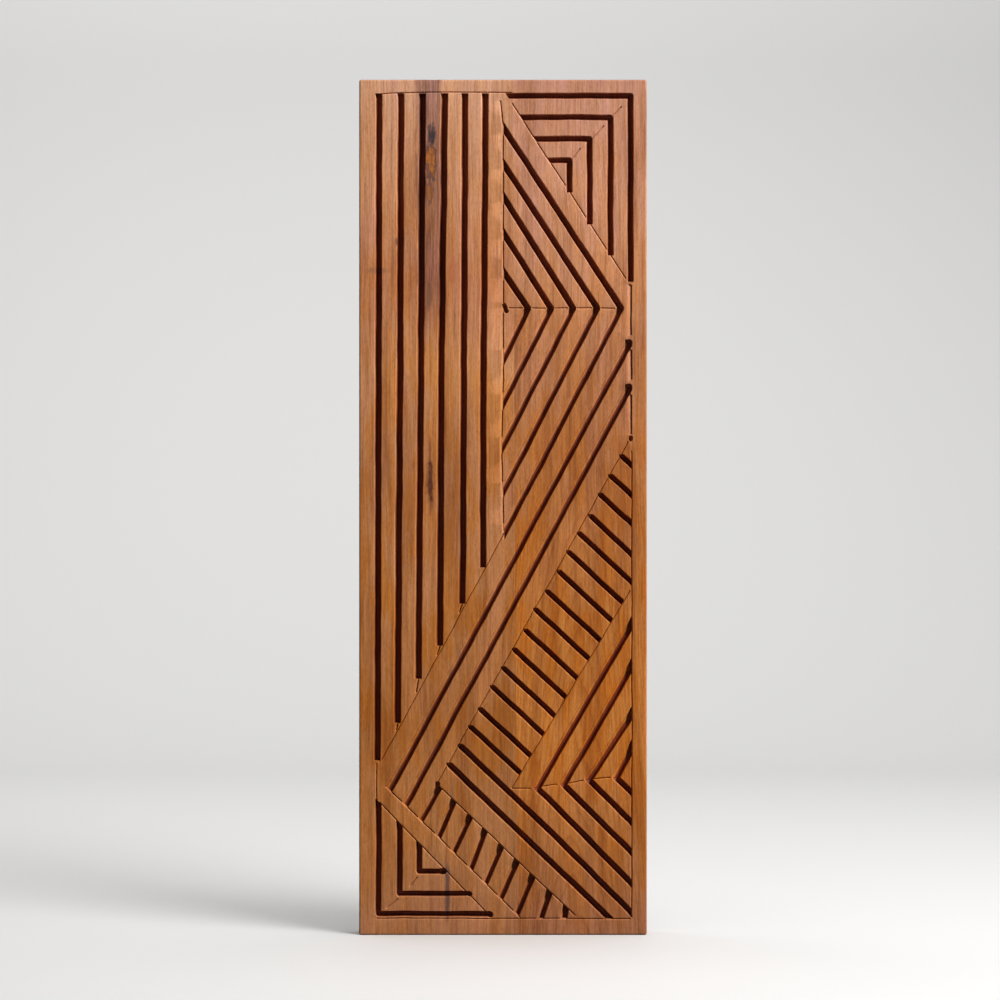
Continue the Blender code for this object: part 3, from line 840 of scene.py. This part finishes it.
def left_wood():
    """Pinkish tan wood with a dark streak, small knots, and torn pockets of bark in the streak."""
    look = Look("left_board_wood")
    color, across, fibre, pores = wood_grain(look, LEFT_HEIGHTS, 0.0, LEFT_GOLDEN)
    ragged = look.noise(5, 26, detail=3, shift=23)
    streak_width = look.smooth(look.z, 560, 700, 4.0, 13.5)
    off_centre = look.absolute(look.minus(across, STREAK_X + WANDER / 2))
    streak = look.minus(streak_width, off_centre)
    streak = look.plus(streak, look.times(look.minus(ragged, 0.5), 9))
    streak = look.times(look.smooth(streak, -2.0, 3.0), look.smooth(look.z, 590, 690))
    vein = look.noise(1.6, 42, detail=4, roughness=0.7, shift=67)
    dark = look.mix(look.smooth(vein, 0.38, 0.62), (0.34, 0.29, 0.36), (0.66, 0.60, 0.68))
    color = look.stain(look.times(streak, 0.9), color, dark)
    burl = look.noise(2.0, 6, detail=5, roughness=0.72, shift=71, distortion=1.4)
    for x, z, wide, tall, tint, share in (
            (-77.0, 668, 4.5, 22, srgb(104, 68, 48), 0.8), (-76.0, 503, 2.2, 24, srgb(100, 56, 34), 0.7),
            (-93.0, 490, 1.8, 8, srgb(120, 70, 44), 0.7), (-52.5, 692, 6.0, 22, srgb(150, 82, 50), 0.6),
            (-111.0, 723, 2.0, 6, srgb(90, 52, 34), 0.8), (-58.0, 45, 3.8, 46, srgb(84, 56, 48), 0.95),
            (-132.0, 693, 17.0, 5, srgb(128, 84, 58), 0.75), (-53.0, 150, 3.0, 26, srgb(120, 84, 60), 0.6),
            (-46.0, 290, 2.6, 22, srgb(118, 80, 56), 0.6), (-55.0, 266, 2.4, 20, srgb(118, 80, 56), 0.6)):
        spot = look.smooth(look.reach(x, z, wide, tall, ragged), 1.0, 0.3)
        textured = look.mix(look.smooth(burl, 0.35, 0.65), tint, tuple(1.5 * value for value in tint))
        color = look.mix(look.times(spot, share), color, textured)
    torn = look.noise(5.0, 13, detail=5, roughness=0.7, shift=83, distortion=0.8)
    for x, z, wide, tall, core, rim_color in (
            (-73.6, 833, 3.4, 9, srgb(60, 46, 50), srgb(74, 54, 54)),
            (-75.3, 808, 4.4, 15, srgb(182, 106, 44), srgb(60, 44, 48)),
            (-76.6, 774, 3.0, 10, srgb(166, 98, 42), srgb(96, 62, 50)),
            (-76.0, 471, 3.0, 19, srgb(96, 46, 24), srgb(122, 70, 40))):
        reach = look.reach(x, z, wide, tall, torn, 3.2)
        color = look.mix(look.times(look.smooth(reach, 1.7, 1.05), 0.75), color, rim_color)
        inner = look.mix(look.smooth(burl, 0.38, 0.60), tuple(0.45 * value for value in core), core)
        color = look.mix(look.times(look.smooth(reach, 1.05, 0.7), 0.92), color, inner)
    return finish_wood(look, color, fibre, pores)


def right_wood():
    """Redder tan with golden, arched grain in its lower half."""
    look = Look("right_board_wood")
    color, across, fibre, pores = wood_grain(look, RIGHT_HEIGHTS, 50.0, RIGHT_GOLDEN)
    from_crown = look.minus(across, CROWN_X)
    arch = look.times(look.times(from_crown, from_crown), 0.0022)
    swirl = look.times(look.noise(34, 170, shift=61), 3.2)
    rings = look.plus(look.plus(arch, look.times(look.z, 0.021)), swirl)
    saw = look.math("FRACT", rings)
    line = look.times(look.smooth(saw, 0.62, 0.97), look.smooth(saw, 1.0, 0.975))
    low_down = look.times(line, look.smooth(look.z, 520, 400))
    color = look.stain(look.times(low_down, 0.6), color, (0.72, 0.60, 0.48))
    return finish_wood(look, color, fibre, pores)


def metal(name, base, rough_low, rough_high):
    """Zinc plate: fine spangle, rolling lines and a little dulling."""
    look = Look(name)
    patches = look.noise(3, 3, detail=4, shift=2)
    lines = look.noise(0.25, 7, shift=9)
    dull = tuple(value * 0.72 for value in base)
    color = look.mix(look.smooth(patches, 0.35, 0.7), base, dull)
    rough = look.smooth(patches, 0.3, 0.75, rough_low, rough_high)
    return look.finish(Base_Color=color, Metallic=1.0, Roughness=look.plus(rough, look.times(lines, 0.08)),
                       Normal=look.bump(lines, 0.25, 0.00004))


def rubber():
    """Matte black rubber with dust and a fine moulded grain."""
    look = Look("bumper_rubber")
    dust = look.noise(4, 4, detail=4, shift=6)
    grain = look.noise(0.35, 0.35, shift=8)
    color = look.mix(look.smooth(dust, 0.45, 0.8), (0.028, 0.027, 0.026), (0.075, 0.071, 0.066))
    return look.finish(Base_Color=color, Roughness=look.smooth(dust, 0.3, 0.8, 0.7, 0.9),
                       Normal=look.bump(grain, 0.5, 0.00006))


def beech():
    """Pale dowel wood with short flecks."""
    look = Look("dowel_wood")
    flecks = look.smooth(look.noise(5, 0.5, shift=3), 0.55, 0.7)
    bands = look.noise(30, 1.6, detail=3, shift=4)
    color = look.mix(bands, srgb(205, 168, 122), srgb(186, 146, 100))
    color = look.mix(look.times(flecks, 0.4), color, srgb(140, 98, 60))
    return look.finish(Base_Color=color, Roughness=look.smooth(bands, 0.3, 0.7, 0.6, 0.75),
                       Normal=look.bump(flecks, 0.3, -0.00008))


# ---- Stage, light and camera ----
def stage():
    """A white sweep: a level floor that curves up into a backdrop."""
    reach, bend_start, bend_radius, wall_top = 6.0, 1.7, 1.4, 5.0
    profile = [(-6.0, 0.0), (bend_start, 0.0)]
    for step in range(1, 25):
        angle = pi / 2 * step / 24
        profile.append((bend_start + bend_radius * sin(angle), bend_radius * (1 - cos(angle))))
    profile.append((bend_start + bend_radius, wall_top))
    vertices = [(side * reach, y, z) for y, z in profile for side in (-1, 1)]
    faces = [(2 * i, 2 * i + 1, 2 * i + 3, 2 * i + 2) for i in range(len(profile) - 1)]
    mesh = mesh_of("sweep", vertices, faces)
    mesh.shade_smooth()
    sweep = add("sweep", mesh)
    paper = bpy.data.materials.new("sweep_paper")
    paper.use_nodes = True
    shader = paper.node_tree.nodes["Principled BSDF"]
    shader.inputs["Base Color"].default_value = (0.86, 0.855, 0.845, 1.0)
    shader.inputs["Roughness"].default_value = 0.7
    mesh.materials.append(paper)
    return sweep


def area_light(name, place, target, size, power, receivers, color=(1.0, 1.0, 1.0)):
    """A soft round light that shines only on the collection of receivers."""
    light = bpy.data.lights.new(name, "AREA")
    light.shape = "DISK"
    light.size = size
    light.energy = power
    light.color = color
    lamp = add(name, light)
    lamp.location = place
    lamp.rotation_euler = (Vector(target) - Vector(place)).to_track_quat("-Z", "Y").to_euler()
    lamp.light_linking.receiver_collection = receivers


def lights(panel_pieces, sweep):
    """Key from the upper right for the carving, and separate soft lights for the paper sweep."""
    carved = bpy.data.collections.new("lit_by_key")
    for piece in panel_pieces:
        carved.objects.link(piece)
    paper = bpy.data.collections.new("lit_by_wash")
    paper.objects.link(sweep)
    middle = (0.0, 0.0, 0.45)
    area_light("key", (4.03, -3.00, 4.08), middle, 0.7, 690, carved, (1.0, 0.985, 0.965))
    area_light("fill", (-2.2, -3.4, 1.5), middle, 2.4, 3, carved, (0.97, 0.985, 1.0))
    area_light("back", (-2.4, 3.4, 1.9), middle, 1.6, 200, carved)
    area_light("wash", (0.4, 0.2, 4.2), (-0.3, 2.6, 0.3), 3.0, 112, paper)
    area_light("wall", (-1.5, 0.9, 2.6), (-0.9, 3.1, 1.0), 2.0, 20, paper)
    area_light("side", (1.55, -1.25, 1.85), (-0.2, 0.0, 0.0), 1.4, 50, paper)
    sweep.visible_diffuse = False
    world = bpy.data.worlds.new("studio")
    world.use_nodes = True
    world.node_tree.nodes["Background"].inputs["Color"].default_value = (1.0, 0.995, 0.985, 1.0)
    world.node_tree.nodes["Background"].inputs["Strength"].default_value = 0.06
    bpy.context.scene.world = world


def camera():
    """Level camera square to the front, its distance set so that the panel fills the frame's height."""
    lens, sensor = 100.0, 36.0
    frame_width = 1.0427
    aim_x, aim_z = -0.0031, 0.4536
    data = bpy.data.cameras.new("camera")
    data.lens = lens
    data.sensor_width = sensor
    data.clip_end = 50
    eye = add("camera", data)
    eye.location = (aim_x, FRONT_Y * MM - frame_width * lens / sensor, aim_z)
    eye.rotation_euler = (radians(90), 0.0, 0.0)
    bpy.context.scene.camera = eye
    bpy.context.scene.view_settings.view_transform = "Standard"


# ---- Back hardware, in millimetres about each CAD node's own box ----
HARDWARE_CREASE = 38
STRAP_THICKNESS = 1.4
STRAP_HOLE = 1.9
SCREW_OFFSETS = {"outer": 29.0, "inner": 19.0}
STRAP_LENGTH = 30.0
STRAP_HALF = 7.0
KNUCKLE_HALF = 4.5
KNUCKLE_RADIUS = 2.8
KNUCKLE_SHEET = 1.05
BACK_GAP = 0.3
RING_WIRE = 1.2
RING_HALF = 9.5
RING_STRAIGHT = 4.0
RING_CORNER = 2.0
RING_AXIS_X = abs(frame["joints"][0]["pos_m"][0]) / MM


def node_middle(name):
    low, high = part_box(name)
    return [(a + b) / 2 / MM for a, b in zip(low, high)]


def rounded_sheet(name, outlines, thickness, bevel):
    """Mesh of a flat sheet with holes and rounded edges, centred on its own plane."""
    curve = bpy.data.curves.new(name, "CURVE")
    curve.dimensions = "2D"
    curve.fill_mode = "BOTH"
    curve.extrude = thickness / 2 - bevel
    curve.bevel_depth = bevel
    curve.bevel_resolution = 2
    curve.offset = -bevel
    for outline in outlines:
        spline = curve.splines.new("POLY")
        spline.points.add(len(outline) - 1)
        for point, (x, y) in zip(spline.points, outline):
            point.co = (x, y, 0.0, 1.0)
        spline.use_cyclic_u = True
    maker = bpy.data.objects.new(name, curve)
    mesh = bpy.data.meshes.new_from_object(maker)
    bpy.data.objects.remove(maker)
    bpy.data.curves.remove(curve)
    return outward(mesh, 0.004)


def circle(x, y, radius, count):
    angles = [2 * pi * step / count for step in range(count)]
    return [(x + radius * cos(angle), y + radius * sin(angle)) for angle in angles]


def joined(name, parts):
    """One mesh in metres from several (mesh, matrix) parts in millimetres."""
    work = bmesh.new()
    for mesh, matrix in parts:
        mesh.transform(matrix)
        work.from_mesh(mesh)
        bpy.data.meshes.remove(mesh)
    bmesh.ops.scale(work, vec=(MM, MM, MM), verts=work.verts)
    bmesh.ops.recalc_face_normals(work, faces=work.faces)
    mesh = bpy.data.meshes.new(name)
    work.to_mesh(mesh)
    work.free()
    mesh.shade_smooth()
    mesh.set_sharp_from_angle(angle=radians(HARDWARE_CREASE))
    return mesh


def strap(label, side, look):
    """Pressed steel tongue whose end is rolled round the ring's bar."""
    height = node_middle(f"{label}_hanger_strap")[2]
    centre = STRAP_LENGTH + 1.0
    arc = [(centre + STRAP_HALF * sin(angle), STRAP_HALF * cos(angle))
           for angle in [pi * step / 28 for step in range(29)]]
    narrowing = STRAP_HALF - KNUCKLE_HALF
    shoulder = [(12.0 - 6.0 * share, -STRAP_HALF + narrowing * share * share * (3 - 2 * share))
                for share in [step / 6 for step in range(7)]]
    tongue = arc + shoulder + [(1.4, -KNUCKLE_HALF), (1.4, KNUCKLE_HALF)]
    tongue += [(x, -y) for x, y in shoulder[::-1]]
    outlines = [tongue] + [circle(offset, 0.0, STRAP_HOLE, 32) for offset in SCREW_OFFSETS.values()]
    plate = rounded_sheet("plate", outlines, STRAP_THICKNESS, 0.28)
    middle_y = BACK_Y + BACK_GAP + STRAP_THICKNESS / 2
    upright = Matrix.Rotation(radians(90), 4, "X")
    mirror = Matrix.Scale(side, 4, (1, 0, 0))
    place = Matrix.Translation((side * RING_AXIS_X, middle_y, height))
    roll_from, roll_to, steps = radians(-62), radians(262), 34
    angles = [roll_from + (roll_to - roll_from) * step / steps for step in range(steps + 1)]
    curl = [(KNUCKLE_RADIUS * cos(angle), KNUCKLE_RADIUS * sin(angle)) for angle in angles]
    inner = KNUCKLE_RADIUS - KNUCKLE_SHEET
    curl += [(inner * cos(angle), inner * sin(angle)) for angle in angles[::-1]]
    roll = rounded_sheet("roll", [curl], 2 * KNUCKLE_HALF, 0.2)
    roll_place = Matrix.Translation((side * RING_AXIS_X, BACK_Y + BACK_GAP + KNUCKLE_RADIUS, height))
    mesh = joined(f"{label}_strap_plate", [(plate, place @ mirror @ upright), (roll, roll_place @ mirror)])
    return new_piece(f"{label}_strap_plate", mesh, look)


def wire_ring(label, side, look):
    """D-shaped wire ring; its straight bar lies in the strap's roll."""
    height = node_middle(f"{label}_hanger_ring")[2]
    bend = [(RING_CORNER * (1 - cos(angle)), RING_HALF - RING_CORNER * (1 - sin(angle)))
            for angle in [pi / 2 * step / 6 for step in range(7)]]
    bar = [(0.0, -RING_HALF + RING_CORNER + (RING_HALF - RING_CORNER) * 2 * step / 8) for step in range(1, 8)]
    half_round = [(RING_STRAIGHT + RING_HALF * sin(angle), RING_HALF * cos(angle))
                  for angle in [pi * step / 40 for step in range(41)]]
    route = bar + bend + half_round + [(x, -z) for x, z in bend[::-1]]
    around = 20
    middle_y = BACK_Y + BACK_GAP + KNUCKLE_RADIUS
    points, faces = [], []
    for index, (x, z) in enumerate(route):
        before, after = Vector(route[index - 1]), Vector(route[(index + 1) % len(route)])
        out = Vector((after.y - before.y, before.x - after.x)).normalized()
        for step in range(around):
            angle = 2 * pi * step / around
            reach = RING_WIRE * cos(angle)
            points.append(((side * (RING_AXIS_X - x - out.x * reach)) * MM,
                           (middle_y + RING_WIRE * sin(angle)) * MM, (height + z + out.y * reach) * MM))
    total = len(route)
    for index in range(total):
        for step in range(around):
            here, ahead = index * around, (index + 1) % total * around
            turn = (step + 1) % around
            faces.append((here + step, here + turn, ahead + turn, ahead + step))
    mesh = mesh_of(f"{label}_wire_ring", points, faces)
    outward(mesh)
    mesh.shade_smooth()
    return new_piece(f"{label}_wire_ring", mesh, look)


def turned_mesh(name, rows, segments, shape=None):
    """Closed solid of revolution about +Y in millimetres; shape changes a point's radius."""
    points = [(0.0, rows[0][1], 0.0)]
    for radius, reach in rows:
        for step in range(segments):
            angle = 2 * pi * step / segments
            here = radius if shape is None else shape(radius, reach, angle)
            points.append((here * cos(angle), reach, here * sin(angle)))
    points.append((0.0, rows[-1][1], 0.0))
    last = len(points) - 1
    faces = []
    for step in range(segments):
        turn = (step + 1) % segments
        faces.append((0, 1 + step, 1 + turn))
        for row in range(len(rows) - 1):
            here, ahead = 1 + row * segments, 1 + (row + 1) * segments
            faces.append((here + step, ahead + step, ahead + turn, here + turn))
        top = 1 + (len(rows) - 1) * segments
        faces.append((last, top + turn, top + step))
    return mesh_of(name, points, faces)


def cross_recess(depth_from, depth_to, turn):
    """Tapered cross, as cut by a cross-head punch."""
    work = bmesh.new()
    for quarter in (0, 1):
        made = bmesh.ops.create_cube(work, size=1.0)["verts"]
        for corner in made:
            top = corner.co.y > 0
            length = 3.6 if top else 1.5
            width = 0.85 if top else 0.5
            corner.co = Vector((corner.co.x * length, depth_to if top else depth_from, corner.co.z * width))
        bmesh.ops.rotate(work, cent=(0, 0, 0), verts=made,
                         matrix=Matrix.Rotation(radians(90 * quarter) + turn, 3, "Y"))
    bmesh.ops.recalc_face_normals(work, faces=work.faces)
    mesh = bpy.data.meshes.new("recess")
    work.to_mesh(mesh)
    work.free()
    return mesh


def wood_screw(label, place, turn, look):
    """Pan-head screw with a cross recess and a cut thread."""
    name = f"{label}_hanger_screw_{place}"
    low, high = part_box(name)
    x, _, z = node_middle(name)
    base = BACK_Y + 2 * BACK_GAP + STRAP_THICKNESS
    head_height, head, shank, reach = 1.8, 3.3, 1.5, 13.0
    pitch = 1.3
    thread_top, thread_foot = -1.6, -reach + 0.3

    def shape(radius, level, angle):
        if level > thread_top or level < thread_foot:
            return radius
        share = (level / pitch - angle / (2 * pi)) % 1.0
        tooth = 1 - abs(2 * share - 1)
        return radius * (0.74 + 0.26 * tooth ** 1.6)

    taper = [(0.05, -reach), (0.45, -reach + 0.9), (0.95, -reach + 1.9), (1.3, -reach + 2.8)]
    rows = list(taper)
    level = -reach + 3.0
    while level < -0.35:
        rows.append((shank, level))
        level += pitch / 7
    rows += [(shank, -0.12), (shank + 0.1, 0.0), (head - 0.12, 0.0), (head, 0.14), (head, 0.5)]
    for angle in range(12, 91, 11):
        turn_up = radians(angle)
        rows.append((max(head * cos(turn_up), 0.02), 0.5 + (head_height - 0.5) * sin(turn_up)))
    solid = add("body", turned_mesh("body", rows, 40, shape))
    cutter = add("recess", cross_recess(head_height - 1.15, head_height + 0.4, turn))
    cut = solid.modifiers.new("recess", "BOOLEAN")
    cut.operation = "DIFFERENCE"
    cut.solver = "EXACT"
    cut.use_self = True
    cut.object = cutter
    bpy.context.view_layer.update()
    mesh = bpy.data.meshes.new_from_object(solid.evaluated_get(bpy.context.evaluated_depsgraph_get()))
    for made in (solid, cutter):
        bpy.data.objects.remove(made)
    mesh = joined(f"{label}_screw_{place}", [(mesh, Matrix.Translation((x, base, z)))])
    return new_piece(f"{label}_screw_{place}", mesh, look)


def pad(level, label, look):
    """Moulded rubber pad with a rounded rim and a slightly dished face."""
    name = f"bumper_{level}_{label}"
    low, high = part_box(name)
    x, _, z = node_middle(name)
    foot, top = low[1] / MM, high[1] / MM
    radius = (high[0] - low[0]) / 2 / MM
    tall = top - foot - 0.01
    rows = [(radius - inset, reach) for inset, reach in (
        (0.5, 0.0), (0.12, 0.06), (0.0, 0.3), (0.05, 0.7), (0.25, 0.95), (0.25, tall - 1.7))]
    for angle in range(15, 91, 15):
        turn = radians(angle)
        rows.append((radius - 1.85 + 1.6 * cos(turn), tall - 1.6 + 1.6 * sin(turn)))
    rows += [(radius - 2.4, tall), (radius - 3.2, tall - 0.12)]
    rows += [(radius - 4.6, tall - 0.3), (0.4, tall - 0.36)]
    mesh = joined(f"pad_{level}_{label}", [(turned_mesh("pad", rows, 56), Matrix.Translation((x, foot, z)))])
    return new_piece(f"pad_{level}_{label}", mesh, look)


# ---- Assembly ----
woods = {"left": left_wood(), "right": right_wood()}
steel = metal("hanger_steel", (0.62, 0.61, 0.58), 0.26, 0.42)
screw_steel = metal("screw_steel", (0.58, 0.57, 0.54), 0.30, 0.48)
black_rubber = rubber()
dowel_wood = beech()
pieces = []


def fit_piece(piece, node, body):
    """The piece stands for a CAD node, which it hides, and moves with a body."""
    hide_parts(node)
    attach(piece, body)
    pieces.append(piece)


front, back = panel_surfaces()
for side, label in ((-1, "left"), (1, "right")):
    mesh = board_mesh(f"carved_{label}_board", side, front, back)
    carved = new_piece(f"carved_{label}_board", mesh, woods[label])
    fit_piece(carved, f"{label}_board", "panel")
    fit_piece(strap(label, side, steel), f"{label}_hanger_strap", "panel")
    fit_piece(wire_ring(label, side, steel), f"{label}_hanger_ring", f"{label}_ring")
    for place, turn in (("outer", 0.35 + side * 0.2), ("inner", 1.1 - side * 0.3)):
        screw = wood_screw(label, place, turn, screw_steel)
        fit_piece(screw, f"{label}_hanger_screw_{place}", "panel")
    for level in ("top", "bottom"):
        fit_piece(pad(level, label, black_rubber), f"bumper_{level}_{label}", "panel")

for node_name, node in frame["nodes"].items():
    if "dowel" in node_name:
        node.material_slots[0].material = dowel_wood

lights(pieces, stage())
camera()
